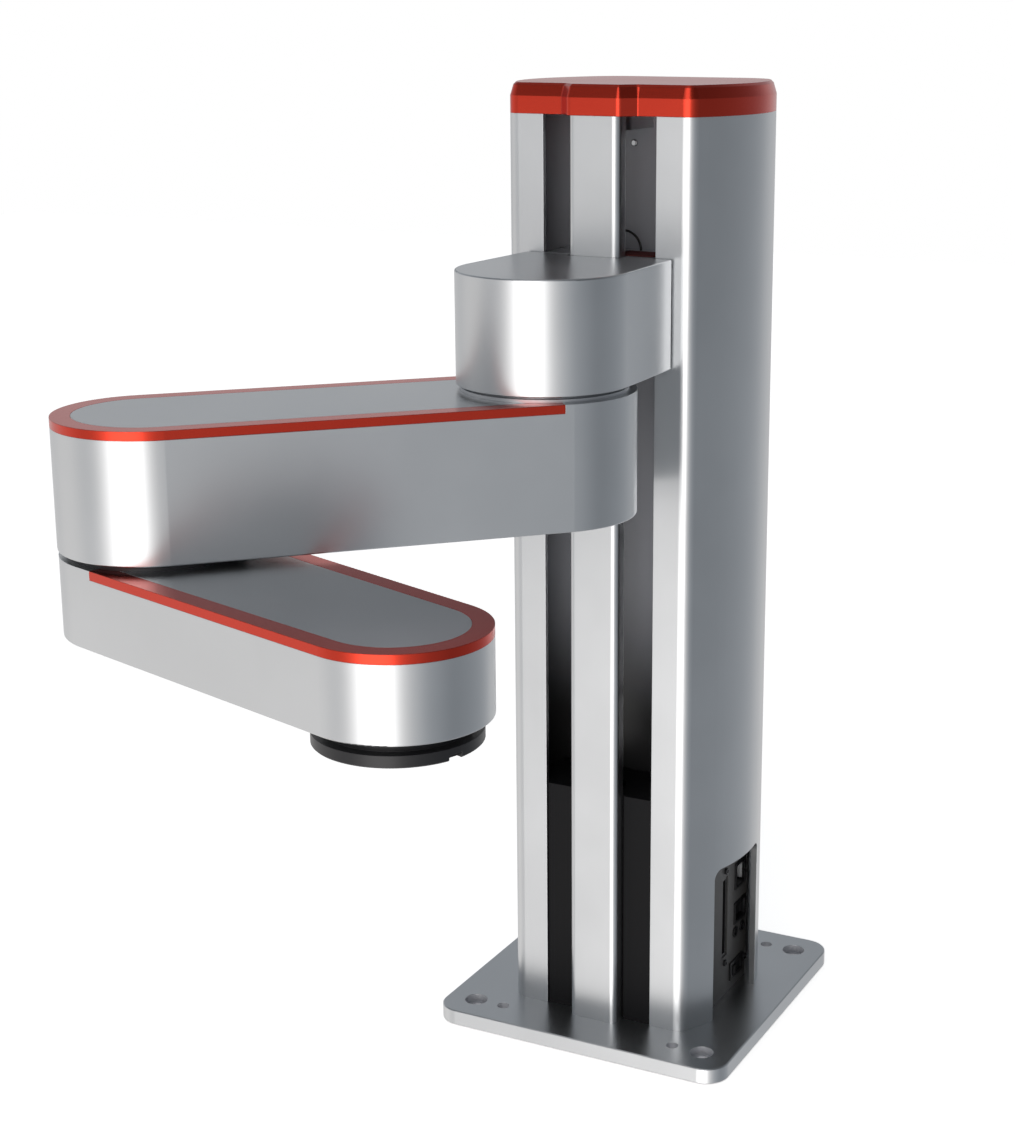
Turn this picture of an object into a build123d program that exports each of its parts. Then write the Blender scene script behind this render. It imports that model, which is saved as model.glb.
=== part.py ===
from build123d import *
from math import acos, atan2, cos, hypot, radians, sin, sqrt, tan
import os

# Four-axis SCARA robot on a column with a vertical screw axis, in millimetres.
# Origin: centre of the base plate's underside. +Z is up, and the arm's straight-ahead direction is -Y.

# Base plate
plate_side = 200
plate_thickness = 10
plate_corner_radius = 15
plate_edge_break = 0.6
bolt_spacing = 160
bolt_hole_radius = 4.5
bolt_sink_radius = 7.4
bolt_sink_depth = 5
pin_spacing_x = 120
pin_spacing_y = 160
pin_hole_radius = 3.9
plate_sink_depth = 6

# Column extrusion, barrel-shaped in plan with an open front
column_length = 568.4
column_front = 62.8
column_rear = 70
column_wall = 4
front_half_width = 58.2
flank_angle = 27.7
side_radius = 111.5
front_corner_radius = 9
rear_corner_radius = 30
lip_thickness = 3
lip_relief = 12
slot_width = 20.2
port_radius = 6
port_bore_radius = 2.65
port_inset = 8.3
port_front_run = 14
port_rear_angle = 47

# Window for the connectors at the foot of the column's right side
window_front = -38.6
window_rear = 20.5
window_height = 102.6
window_corner_radius = 6.5
window_cut_depth = 14

# Centre strip between the two slots
strip_half_width = 16.2
strip_proud = 8.3
strip_return = 10.1
strip_wall = 2
strip_corner_radius = 4
strip_port_depth = 7.6
strip_port_radius = 3.5
strip_port_bore = 1.6
strip_web = 2.5

# Top cap
cap_band = 10.1
cap_bevel_height = 6.2
cap_bevel_inset = 1.9
cap_rim_height = 1.4
cap_rim_inset = 1.5
cap_root_radius = 1.2
cap_wall = 3
top_plate_thickness = 6
light_board_thickness = 1.6
light_board_inset = 22
light_board_corner_radius = 6
led_side = 5
led_height = 1.6

# Guide panel, rails and blocks
panel_front = -14
panel_thickness = 6
panel_side_gap = 12.7
connector_bay = 17.4
panel_foot_height = 110
panel_window_half_width = 24
panel_window_height = 40
panel_screw_height = 560
rail_offset = 26
rail_width = 12
rail_height = 8
rail_waist_inset = 1.2
rail_waist_heights = (2.5, 4, 5.5)
rail_bottom = 168
rail_top = 566
rail_screw_count = 4
block_width = 27
block_base_gap = 3
block_height = 10
block_end_gap = 4
slide_gap = 0.3

# Screw drive
screw_y = -44.5
screw_radius = 7
screw_bottom = 58
screw_top = 567
journal_radius = 5
journal_gap = 0.05
pulley_journal_radius = 4
pulley_bottom = 23.5
pulley_radius = 9.5
pulley_flange_radius = 11
pulley_flange_thickness = 1
pulley_teeth = 24
tooth_depth = 0.8
tooth_groove_share = 0.25
belt_width = 8
belt_thickness = 1.5
belt_gap = 0.3
belt_side_gap = 0.5
bearing_block_radius = 12.5
lower_bearing_bottom = 44
lower_bearing_height = 12
upper_bearing_gap = 2.5
nut_radius = 11
nut_flange_radius = 15
nut_flange_thickness = 6
nut_length = 34

# Z motor and its bracket
motor_y = 24
motor_side = 56
motor_height = 90
motor_corner_radius = 6
motor_shaft_radius = 4
motor_shaft_reach = 12
motor_socket_gap = 2
motor_rear_height = 14
motor_rear_step = 4
bracket_side = 64
bracket_bottom = 44
bracket_thickness = 6
bracket_post = 10
bracket_corner_radius = 3

# Control board behind the guide panel
board_bottom = 190
board_height = 230
board_half_width = 48
board_thickness = 1.6
board_margin = 8
standoff_length = 14
standoff_radius = 3
sink_half_width = 20
sink_offset = 20
sink_height = 80
fin_count = 7
fin_thickness = 2
fin_length = 16
capacitor_radius = 9
capacitor_length = 26
capacitor_gap = 4
header_width = 18
header_height = 9
header_gap = 10

# Drive housing at the foot of the slots
drive_side_gap = 12.2
drive_rear = -17
drive_top = 162
drive_wall = 2.5
drive_front_gap = 0.3
drive_screw_gap = 3
drive_belt_gap = 4
tongue_proud = 1.8
tongue_gap = 1
tongue_outer_gap = 0.5

# Shoulder head and carriage
head_bottom = 434
head_height = 64
head_radius = 50
head_rear_half_width = 47.4
head_rear = -64
head_wall = 4.5
head_rear_wall = 14
head_floor = 4
head_roof = 5
head_edge_radius = 1
head_channel_gap = 0.8
head_screw_inset = 14
head_floor_hole_radius = 30
shoulder_clearance = 8.9
carriage_plate_front = -33
carriage_plate_rear = -27
carriage_half_width = 40
arm_gap = 0.8
bridge_bottom = 462
bridge_thickness = 8
cable_radius = 0.7
cable_loop_radius = 11.5
cable_y = -30

# Joint flanges and actuators
flange_radius = 48
flange_step_radius = 45
flange_thickness = 2.3
flange_gap = 0.35
hub_radius = 20
hub_length = 21
hub_gap = 0.08
reducer_height = 22
shoulder_reducer_radius = 42
shoulder_motor_radius = 35
shoulder_motor_height = 28
elbow_reducer_radius = 40
elbow_motor_radius = 34
elbow_motor_height = 34

# Upper arm and forearm
upper_arm_length = 220
upper_arm_radius = 52.5
upper_arm_height = 71.6
forearm_length = 200
forearm_near_radius = 52
forearm_far_radius = 47.2
forearm_height = 44.4
shoulder_gap = 3.4
elbow_gap = 3.2
shoulder_angle = -44.7
elbow_angle = 115.9
arm_wall = 5
arm_floor = 4
arm_roof = 3
arm_edge_radius = 0.8
drive_hole_radius = 30
trim_width = 11
trim_height = 5
trim_gap = 0.1
upper_trim_start = 5
fore_trim_start = 14.5
cover_thickness = 3
cover_ledge = 3
cover_flange_gap = 0.3

# Tool axis
tool_gap = 6.3
tool_flange_radius = 42
tool_flange_height = 6.2
tool_flange_edge = 0.6
tool_neck_radius = 36
tool_neck_gap = 0.4
tool_pilot_radius = 15.75
tool_pilot_depth = 5
tool_bolt_circle = 50
tool_bolt_radius = 2.5
tool_bolt_depth = 9
tool_bore_radius = 6
tool_screw_circle = 23
notch_width = 8
notch_height = 3
notch_depth = 4
tool_shaft_radius = 22
tool_hole_radius = 24
tool_bearing_radius = 36
tool_bearing_height = 12
tool_pulley_radius = 20.5
tool_pulley_teeth = 60
tool_pulley_gap = 2
tool_belt_width = 9
tool_motor_distance = 95
tool_motor_radius = 24
tool_motor_height = 13.6
tool_motor_shaft_reach = 5.7
tool_motor_shaft_radius = 3
small_pulley_teeth = 20

# Connector panel
io_setback = 9.34
io_thickness = 2
io_front = -39
io_rear = 31
io_height = 106
io_fit = 0.2

# Connectors, each from one side to the other along Y and from its foot to its top along Z
multiway = (-9, -0.5, 38.5, 94)
network = (11, 28, 79, 97)
square = (10.5, 29, 54.5, 69.5)
switch = (5, 23.5, 18.5, 28.5)
rounds = ((12.8, 48.6), (24.4, 48.3))
round_radius = 3.7
round_wall = 1.2
round_pin_radius = 0.9
socket_depth = 12
socket_bottom = 8
connector_lip = 0.8
multiway_recess = 0.8
multiway_depth = 11
multiway_ear = 9
multiway_side = 2
multiway_groove = 4
network_depth = 16
network_wall = 2
network_floor = 4
network_latch = 8
square_wall = 2
square_tongue = 4.5
jack_screw_places = ((-4.75, 98.5), (-4.75, 34))
panel_screw_places = ((-34, 18), (-34, 110), (27, 110), (28.2, 24.9))
switch_rim = 1.2
switch_wall = 1.6
switch_depth = 12
rocker_face = 4
rocker_dish = 1.1
rocker_hub_radius = 2.4
rocker_pin_radius = 1.1
rocker_setback = 2.4
rocker_tilt = 9

# Fasteners: radius of shank, radius of head, height of head
plate_screw = (2.6, 5, 5.5)
cap_screw = (2.5, 4.75, 2.75)
strip_screw = (1.5, 2.75, 1.7)
rail_screw = (2.2, 3.8, 4)
arm_screw = (2.5, 4.2, 5)
panel_screw = (1.4, 2.2, 1.5)
tool_screw = (2, 3.5, 4)
screw_fit = 0.1
screw_clearance = 0.4
head_clearance = 0.5
push_fit = 0.02
end_screw_grip = 14
arm_screw_grip = 11
tool_screw_length = 11
jack_screw_grip = 4

# Heights and places that follow from the sizes above
column_top = plate_thickness + column_length
side_corner_x = front_half_width + column_front * tan(radians(flank_angle))
rear_corner_x = side_corner_x - column_rear * tan(radians(flank_angle))
column_half_width = side_corner_x - side_radius * (1 / cos(radians(flank_angle)) - 1)
slot_outer = strip_half_width + slot_width
strip_front = column_front + strip_proud
shoulder_reach = strip_front + shoulder_clearance + upper_arm_radius
strip_port_y = -strip_front + strip_port_depth
head_top = head_bottom + head_height
upper_arm_top = head_bottom - shoulder_gap
upper_arm_bottom = upper_arm_top - upper_arm_height
forearm_top = upper_arm_bottom - elbow_gap
forearm_bottom = forearm_top - forearm_height
tool_flange_top = forearm_bottom - tool_gap
tool_flange_bottom = tool_flange_top - tool_flange_height
panel_rear = panel_front + panel_thickness
drive_half_width = front_half_width - drive_side_gap
io_face = column_half_width - column_wall - io_setback
io_back = io_face - io_thickness
panel_half_width = column_half_width - column_wall - panel_side_gap
panel_foot_half_width = io_back - connector_bay
rocker_pivot_x = io_face - rocker_setback
rocker_pivot_y = (switch[0] + switch[1]) / 2
tool_pulley_bottom = forearm_bottom + arm_floor + tool_bearing_height + tool_pulley_gap
tool_pulley_height = tool_belt_width + 2 * belt_side_gap + 2 * pulley_flange_thickness
small_pulley_radius = tool_pulley_radius * small_pulley_teeth / tool_pulley_teeth


def rod(radius, bottom, top, x=0, y=0):
    """A round bar along Z."""
    return Pos(x, y, bottom) * Cylinder(radius, top - bottom, align=(Align.CENTER, Align.CENTER, Align.MIN))


def bar(x0, x1, y0, y1, z0, z1):
    """A rectangular block between two corners."""
    return Pos(x0, y0, z0) * Box(x1 - x0, y1 - y0, z1 - z0, align=(Align.MIN, Align.MIN, Align.MIN))


def prism(outline, bottom, top):
    """An outline in plan, extruded between two heights."""
    return Pos(0, 0, bottom) * extrude(outline, top - bottom)


def screw_down(size, length, x, y, seat):
    """A screw along Z whose head stands on the height called seat, with its shank below it."""
    shank, head, head_height = size
    return rod(head, seat, seat + head_height, x, y) + rod(shank, seat - length, seat, x, y)


def screw_up(size, length, x, y, seat):
    """A screw along Z whose head hangs below the height called seat, with its shank above it."""
    shank, head, head_height = size
    return rod(head, seat - head_height, seat, x, y) + rod(shank, seat, seat + length, x, y)


def group(pieces):
    """Several separate solids that share one node."""
    return Compound(children=[piece for piece in pieces])


def corners(span_x, span_y):
    """The four corners of a rectangle about the origin."""
    return [(sx * span_x / 2, sy * span_y / 2) for sx in (-1, 1) for sy in (-1, 1)]


# Column


def column_outline(inset=0):
    """The plan: a flat front, flanks that swell into a wide arc on each side, and a round-cornered back."""
    tilt = radians(flank_angle)
    side_shift = inset / cos(tilt)
    corner_shift = side_shift - inset * tan(tilt)
    right = [
        (front_half_width - corner_shift, inset - column_front),
        (side_corner_x - side_shift, 0),
        (rear_corner_x - corner_shift, column_rear - inset),
    ]
    left = [(-x, y) for x, y in reversed(right)]
    radii = [radius - inset for radius in (front_corner_radius, side_radius, rear_corner_radius)]
    return make_face(FilletPolyline(*right, *left, radius=radii + radii[::-1], close=True))


def strip_outline():
    """The centre strip's plan, rounded at its two front corners."""
    back = -strip_front + strip_return
    points = [
        (-strip_half_width, back),
        (-strip_half_width, -strip_front),
        (strip_half_width, -strip_front),
        (strip_half_width, back),
    ]
    radii = [0, strip_corner_radius, strip_corner_radius, 0]
    return make_face(FilletPolyline(*points, radius=radii, close=True))


def port_places():
    """Centres of the four screw ports, set in from the front flanks and from the rear corners."""
    tilt = radians(flank_angle)
    front_x = front_half_width + port_front_run * sin(tilt) - port_inset * cos(tilt)
    front_y = -column_front + port_front_run * cos(tilt) + port_inset * sin(tilt)
    reach = rear_corner_radius - port_inset
    arc_x = rear_corner_x - rear_corner_radius * tan(radians(90 - flank_angle) / 2)
    rear_x = arc_x + reach * cos(radians(port_rear_angle))
    rear_y = column_rear - rear_corner_radius + reach * sin(radians(port_rear_angle))
    return [(side * x, y) for x, y in ((front_x, front_y), (rear_x, rear_y)) for side in (-1, 1)]


def column_shell():
    outer = column_outline()
    bay = column_outline(column_wall)
    lip_back = -column_front + lip_thickness
    relief_width = 2 * (front_half_width - lip_relief)
    bay += Pos(0, lip_back + column_wall / 2) * Rectangle(relief_width, column_wall)
    profile = outer - bay
    profile += [Pos(x, y) * Circle(port_radius) for x, y in port_places()]
    profile -= Pos(0, -column_front) * Rectangle(2 * slot_outer, 4 * lip_thickness)
    profile -= [Pos(x, y) * Circle(port_bore_radius) for x, y in port_places()]
    shell = prism(profile, plate_thickness, column_top)
    return shell - connector_window()


def connector_window():
    """The opening at the foot of the right side, round at its two upper corners."""
    foot = plate_thickness - 5
    top = plate_thickness + window_height
    points = [(window_front, foot), (window_front, top), (window_rear, top), (window_rear, foot)]
    radii = [0, window_corner_radius, window_corner_radius, 0]
    face = make_face(FilletPolyline(*points, radius=radii, close=True))
    return Pos(column_half_width - window_cut_depth, 0, 0) * extrude(Plane.YZ * face, 2 * window_cut_depth)


def centre_strip():
    back = -strip_front + strip_return
    inner_half = strip_half_width - strip_wall
    inner = Pos(0, (back - strip_front + strip_wall) / 2) * Rectangle(
        2 * inner_half, strip_return - strip_wall
    )
    profile = strip_outline() - inner
    profile += Pos(0, (strip_port_y - strip_front) / 2) * Rectangle(strip_web, strip_front + strip_port_y)
    profile += Pos(0, strip_port_y) * Circle(strip_port_radius)
    profile -= Pos(0, strip_port_y) * Circle(strip_port_bore)
    return prism(profile, plate_thickness, column_top)


def cap_outline(inset=0):
    """The column's plan with a bulge over the strip, its sides sloped back at 45 degrees."""
    shift = inset * (sqrt(2) - 1)
    root = strip_half_width + strip_proud - shift
    corner = strip_half_width - shift
    right = [(root, 0), (root, inset - column_front), (corner, inset - strip_front)]
    left = [(-x, y) for x, y in reversed(right)]
    face = column_outline(inset) + make_face(Polyline(*right, *left, close=True))
    bulge_corners = [v for v in face.vertices() if abs(v.Y - inset + strip_front) < 0.01]
    face = fillet(bulge_corners, strip_corner_radius - inset)
    roots = [v for v in face.vertices() if abs(abs(v.X) - root) < 0.01]
    return fillet(roots, cap_root_radius + inset)


def bevelled(bottom, height, inset, lean):
    """A slice of the cap that starts at the inset and leans in by a further amount on the way up."""
    lower = Pos(0, 0, bottom) * cap_outline(inset)
    upper = Pos(0, 0, bottom + height) * cap_outline(inset + lean)
    return loft([lower, upper], ruled=True)


def top_cap():
    """A straight band, a steep bevel and a narrow rim round the flat top, hollow inside."""
    crease = column_top + cap_band
    rim = crease + cap_bevel_height
    skin = prism(cap_outline(), column_top, crease)
    skin += bevelled(crease, cap_bevel_height, 0, cap_bevel_inset)
    skin += bevelled(rim, cap_rim_height, cap_bevel_inset, cap_rim_inset)
    return skin - prism(cap_outline(cap_wall), column_top, rim + cap_rim_height - cap_wall)


def top_plate():
    plate = prism(cap_outline(cap_wall + slide_gap), column_top, column_top + top_plate_thickness)
    for size, x, y in end_screw_places(cap_screw):
        plate -= rod(size[0] + screw_fit, column_top - 1, column_top + top_plate_thickness + 1, x, y)
    return plate


def end_screw_places(size):
    """One screw for each port of the extrusion, and a small one for the strip's port."""
    return [(size, x, y) for x, y in port_places()] + [(strip_screw, 0, strip_port_y)]


def top_plate_screws():
    seat = column_top + top_plate_thickness
    length = top_plate_thickness + end_screw_grip
    return group([screw_down(size, length, x, y, seat) for size, x, y in end_screw_places(cap_screw)])


def light_board():
    """The indicator board under the cap, with its row of light-emitting diodes on each side."""
    seat = column_top + top_plate_thickness
    width = 2 * (column_half_width - 2 * light_board_inset)
    depth = column_front + column_rear - 2 * light_board_inset
    plan = Pos(0, (column_rear - column_front) / 2) * RectangleRounded(width, depth, light_board_corner_radius)
    board = prism(plan, seat, seat + light_board_thickness)
    lamp_top = seat + light_board_thickness + led_height
    lamp_x = column_half_width - 2 * light_board_inset - led_side
    pieces = [board]
    for side in (-1, 1):
        for step in (-1.5, -0.5, 0.5, 1.5):
            x = side * lamp_x
            y = (column_rear - column_front) / 2 + step * 4 * led_side
            pieces.append(
                bar(x - led_side / 2, x + led_side / 2, y - led_side / 2, y + led_side / 2,
                    seat + light_board_thickness, lamp_top)
            )
    return group(pieces)


# Base plate


def base_plate():
    plan = RectangleRounded(plate_side, plate_side, plate_corner_radius)
    plate = prism(plan, 0, plate_thickness)
    rims = plate.edges().filter_by(lambda e: abs(e.center().Z) < 0.01)
    rims += plate.edges().filter_by(lambda e: abs(e.center().Z - plate_thickness) < 0.01)
    plate = chamfer(rims, plate_edge_break)
    for x, y in corners(bolt_spacing, bolt_spacing):
        plate -= rod(bolt_hole_radius, -1, plate_thickness + 1, x, y)
        plate -= rod(bolt_sink_radius, plate_thickness - bolt_sink_depth, plate_thickness + 1, x, y)
    for x, y in corners(pin_spacing_x, pin_spacing_y):
        plate -= rod(pin_hole_radius, -1, plate_thickness + 1, x, y)
    for (shank, head, head_height), x, y in end_screw_places(plate_screw):
        plate -= rod(shank + screw_fit, -1, plate_thickness + 1, x, y)
        plate -= rod(head + head_clearance, -1, plate_sink_depth, x, y)
    return plate


def column_screws():
    length = plate_thickness - plate_sink_depth + end_screw_grip
    return group(
        [screw_up(size, length, x, y, plate_sink_depth) for size, x, y in end_screw_places(plate_screw)]
    )


# Guide panel, rails and screw drive


def guide_panel():
    panel = bar(-panel_half_width, panel_half_width, panel_front, panel_rear,
                plate_thickness + panel_foot_height, column_top)
    panel += bar(-panel_foot_half_width, panel_foot_half_width, panel_front, panel_rear,
                 plate_thickness, plate_thickness + panel_foot_height)
    panel -= bar(-panel_window_half_width, panel_window_half_width, panel_front - 1, panel_rear + 1,
                 plate_thickness - 1, plate_thickness + panel_window_height)
    panel -= along_y(panel_screw[0] + screw_fit, panel_front - 1, panel_rear + 1, 0, panel_screw_height)
    for side in (-1, 1):
        for z in rail_screw_heights():
            hole = rail_screw[0] + screw_fit
            panel -= along_y(hole, panel_front - 1, panel_rear + 1, side * rail_offset, z)
    return panel


def panel_screws():
    """The button-headed screw near the top of the guide panel."""
    shank, head, head_depth = panel_screw
    button = Pos(0, panel_front, panel_screw_height) * Rot(90, 0, 0) * Cylinder(
        head, head_depth, align=(Align.CENTER, Align.CENTER, Align.MIN)
    )
    rim = button.edges().sort_by(Axis.Y)[0]
    button = fillet(rim, head_depth * 0.6)
    pin = Pos(0, panel_front, panel_screw_height) * Rot(-90, 0, 0) * Cylinder(
        shank, panel_thickness, align=(Align.CENTER, Align.CENTER, Align.MIN)
    )
    return button + pin


def rail_screw_heights():
    pitch = (rail_top - rail_bottom) / rail_screw_count
    return [rail_bottom + pitch * (n + 0.5) for n in range(rail_screw_count)]


def along_y(radius, start, end, x, z):
    """A round bar along Y."""
    return Pos(x, start, z) * Rot(-90, 0, 0) * Cylinder(
        radius, end - start, align=(Align.CENTER, Align.CENTER, Align.MIN)
    )


def guide_rails():
    """Two profile rails, waisted on both sides, with a counterbored hole for each screw."""
    face = panel_front
    crown = face - rail_height
    half = rail_width / 2
    waist = half - rail_waist_inset
    low, middle, high = rail_waist_heights
    shank, head, head_depth = rail_screw
    rails = []
    for side in (-1, 1):
        x = side * rail_offset
        points = [
            (x - half, face), (x - half, face - low), (x - waist, face - middle), (x - half, face - high),
            (x - half, crown), (x + half, crown), (x + half, face - high), (x + waist, face - middle),
            (x + half, face - low), (x + half, face),
        ]
        rail = prism(make_face(Polyline(*points, close=True)), rail_bottom, rail_top)
        for z in rail_screw_heights():
            rail -= along_y(shank + screw_fit, crown - 1, face + 1, x, z)
            rail -= along_y(head + screw_fit, crown - 1, crown + head_depth + head_clearance, x, z)
        rails.append(rail)
    return group(rails)


def rail_screws():
    shank, head, head_depth = rail_screw
    seat = panel_front - rail_height + head_depth + head_clearance
    screws = []
    for side in (-1, 1):
        for z in rail_screw_heights():
            x = side * rail_offset
            shaft = along_y(shank, seat, panel_rear, x, z)
            screws.append(along_y(head, seat - head_depth, seat, x, z) + shaft)
    return group(screws)


def guide_blocks():
    """One runner on each rail, grooved to clear the rail by a small gap."""
    base = panel_front - block_base_gap
    crown = panel_front - rail_height - slide_gap
    half = rail_width / 2 + slide_gap
    blocks = []
    for side in (-1, 1):
        x = side * rail_offset
        block = bar(x - block_width / 2, x + block_width / 2, base - block_height, base,
                    head_bottom + block_end_gap, head_top - block_end_gap)
        blocks.append(block - bar(x - half, x + half, crown, base + 1, head_bottom, head_top))
    return group(blocks)


def toothed_disc(radius, teeth, bottom, top):
    """A belt pulley's toothed drum: round grooves cut into its rim."""
    groove = radians(360 / teeth) * radius * tooth_groove_share
    plan = Circle(radius)
    plan -= [
        Rot(0, 0, 360 * n / teeth) * Pos(radius + groove - tooth_depth, 0) * Circle(groove)
        for n in range(teeth)
    ]
    return prism(plan, bottom, top)


def belt_pulley(radius, flange, teeth, bottom, width, bore):
    """A toothed drum between two thin flanges."""
    lower = bottom + pulley_flange_thickness
    upper = lower + width + 2 * belt_side_gap
    pulley = toothed_disc(radius, teeth, lower, upper)
    pulley += rod(flange, bottom, lower) + rod(flange, upper, upper + pulley_flange_thickness)
    return pulley - rod(bore, bottom - 1, upper + pulley_flange_thickness + 1)


def belt_loop(distance, near_radius, far_radius, bottom, width):
    """A flat band round two pulleys, clear of their teeth, from the origin along +X."""
    reach = belt_gap + belt_thickness
    outer = link_outline(distance, near_radius + reach, far_radius + reach)
    inner = link_outline(distance, near_radius + belt_gap, far_radius + belt_gap)
    return prism(outer - inner, bottom, bottom + width)


def ball_screw():
    upper_end = column_top - 1
    shaft = rod(screw_radius, screw_bottom, screw_top)
    shaft += rod(journal_radius, lower_bearing_bottom - 2, screw_bottom)
    shaft += rod(pulley_journal_radius, pulley_bottom - 2, lower_bearing_bottom - 2)
    shaft += rod(journal_radius, screw_top, upper_end)
    return Pos(0, screw_y, 0) * shaft


def screw_pulley():
    pulley = belt_pulley(
        pulley_radius, pulley_flange_radius, pulley_teeth, pulley_bottom, belt_width,
        pulley_journal_radius + push_fit
    )
    return Pos(0, screw_y, 0) * pulley


def motor_pulley():
    """The Z motor's pulley with the end of the rotor shaft that it is pressed on."""
    pulley = belt_pulley(
        pulley_radius, pulley_flange_radius, pulley_teeth, pulley_bottom, belt_width, motor_shaft_radius
    )
    pulley += rod(motor_shaft_radius, pulley_bottom, bracket_bottom + bracket_thickness + motor_shaft_reach)
    return Pos(0, motor_y, 0) * pulley


def z_belt():
    bottom = pulley_bottom + pulley_flange_thickness + belt_side_gap
    belt = belt_loop(motor_y - screw_y, pulley_radius, pulley_radius, bottom, belt_width)
    return Pos(0, screw_y, 0) * Rot(0, 0, 90) * belt


def bearing_block(bottom, top):
    """A round bearing seat with a foot that reaches back to the guide panel."""
    block = rod(bearing_block_radius, bottom, top, 0, screw_y)
    block += bar(-bearing_block_radius, bearing_block_radius, screw_y, panel_front, bottom, top)
    return block - rod(journal_radius + journal_gap, bottom - 1, top + 1, 0, screw_y)


def lower_bearing():
    return bearing_block(lower_bearing_bottom, lower_bearing_bottom + lower_bearing_height)


def upper_bearing():
    return bearing_block(screw_top + upper_bearing_gap, column_top)


def z_motor():
    seat = bracket_bottom + bracket_thickness
    plan = RectangleRounded(motor_side, motor_side, motor_corner_radius)
    body = prism(plan, seat, seat + motor_height)
    rear_side = motor_side - 2 * motor_rear_step
    rear = prism(RectangleRounded(rear_side, rear_side, motor_corner_radius),
                 seat + motor_height, seat + motor_height + motor_rear_height)
    socket_top = seat + motor_shaft_reach + motor_socket_gap
    body = body + rear - rod(motor_shaft_radius + journal_gap, seat - 1, socket_top)
    return Pos(0, motor_y, 0) * body


def motor_bracket():
    top = bracket_bottom + bracket_thickness
    half = bracket_side / 2
    plate = prism(RectangleRounded(bracket_side, bracket_side, bracket_corner_radius), bracket_bottom, top)
    plate -= rod(pulley_flange_radius + 1, bracket_bottom - 1, top + 1)
    for sx in (-1, 1):
        for sy in (-1, 1):
            x = sx * (half - bracket_post / 2)
            y = sy * (half - bracket_post / 2)
            plate += Pos(x, y) * prism(Rectangle(bracket_post, bracket_post), plate_thickness, bracket_bottom)
    return Pos(0, motor_y, 0) * plate


def drive_housing():
    """The moulded cover over the screw's lower end, with a tongue that fills each slot."""
    front = -column_front + lip_thickness + drive_front_gap
    body = bar(-drive_half_width, drive_half_width, front, drive_rear, plate_thickness, drive_top)
    hollow = bar(-drive_half_width + drive_wall, drive_half_width - drive_wall, front + drive_wall,
                 drive_rear - drive_wall, plate_thickness - 1, drive_top - drive_wall)
    tongue_front = front - tongue_proud
    for side in (-1, 1):
        inner = side * (strip_half_width + tongue_gap)
        outer = side * (slot_outer - tongue_outer_gap)
        body += bar(min(inner, outer), max(inner, outer), tongue_front, front, plate_thickness, drive_top)
    body -= hollow
    body -= rod(screw_radius + drive_screw_gap, drive_top - 2 * drive_wall, drive_top + 1, 0, screw_y)
    reach = bearing_block_radius + 1
    body -= bar(-reach, reach, drive_rear - 2 * drive_wall, drive_rear + 1,
                lower_bearing_bottom - 1, lower_bearing_bottom + lower_bearing_height + 1)
    belt_half = panel_window_half_width - drive_belt_gap
    body -= bar(-belt_half, belt_half, drive_rear - 2 * drive_wall, drive_rear + 1,
                plate_thickness - 1, lower_bearing_bottom - 1)
    return body


def control_board():
    """The drive and control board in the rear bay, with its heat sink, capacitors and headers."""
    front = panel_rear + standoff_length
    face = front + board_thickness
    half = board_half_width
    pieces = [bar(-half, half, front, face, board_bottom, board_bottom + board_height)]
    sink_bottom = board_bottom + board_margin + sink_offset
    sink_top = sink_bottom + sink_height
    sink = bar(-sink_half_width, sink_half_width, face, face + fin_thickness, sink_bottom, sink_top)
    fin_pitch = (2 * sink_half_width - fin_thickness) / (fin_count - 1)
    for n in range(fin_count):
        x = -sink_half_width + n * fin_pitch
        sink += bar(x, x + fin_thickness, face, face + fin_length, sink_bottom, sink_top)
    pieces.append(sink)
    for n in (-1, 0, 1):
        x = n * (2 * capacitor_radius + capacitor_gap)
        z = sink_top + 3 * capacitor_radius
        pieces.append(along_y(capacitor_radius, face, face + capacitor_length, x, z))
        header_x = n * (header_width + header_gap)
        header_bottom = board_bottom + board_height - board_margin - 3 * header_height
        header_top = header_bottom + header_height
        pieces.append(bar(header_x - header_width / 2, header_x + header_width / 2, face, face + header_height,
                          header_bottom, header_top))
    return group(pieces)


def board_standoffs():
    low = board_bottom + board_margin
    high = board_bottom + board_height - board_margin
    x = board_half_width - board_margin
    return group(
        [along_y(standoff_radius, panel_rear, panel_rear + standoff_length, side * x, z)
         for side in (-1, 1) for z in (low, high)]
    )


# Connector panel


def across_x(radius, start, end, y, z):
    """A round bar along X."""
    return Pos(start, y, z) * Rot(0, 90, 0) * Cylinder(
        radius, end - start, align=(Align.CENTER, Align.CENTER, Align.MIN)
    )


def hole_x(y0, y1, z0, z1, gap=io_fit):
    """A rectangular hole through the connector panel, larger than its connector by a gap."""
    return bar(io_back - 1, io_face + 1, y0 - gap, y1 + gap, z0 - gap, z1 + gap)


def io_panel():
    panel = bar(io_back, io_face, io_front, io_rear, plate_thickness, plate_thickness + io_height)
    for opening in (multiway, network, square, switch):
        panel -= hole_x(*opening)
    for y, z in rounds:
        panel -= across_x(round_radius + io_fit, io_back - 1, io_face + 1, y, z)
    for y, z in jack_screw_places + panel_screw_places:
        panel -= across_x(panel_screw[0] + screw_fit, io_back - 1, io_face + 1, y, z)
    return panel


def io_connector():
    """The long multi-way connector: a slim body with a keyed groove along its face."""
    y0, y1, z0, z1 = multiway
    side, ear = multiway_side, multiway_ear
    back = io_face - multiway_depth
    body = bar(back, io_face - multiway_recess, y0, y1, z0, z1)
    body += bar(back, io_back, y0 - side, y1 + side, z0 - ear, z1 + ear)
    body -= bar(io_face - multiway_groove, io_face + 1, y0 + side, y1 - side, z0 + side, z1 - side)
    for y, z in jack_screw_places:
        body -= across_x(panel_screw[0] + screw_fit, io_back - jack_screw_grip - 1, io_back + 1, y, z)
    return body


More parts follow.
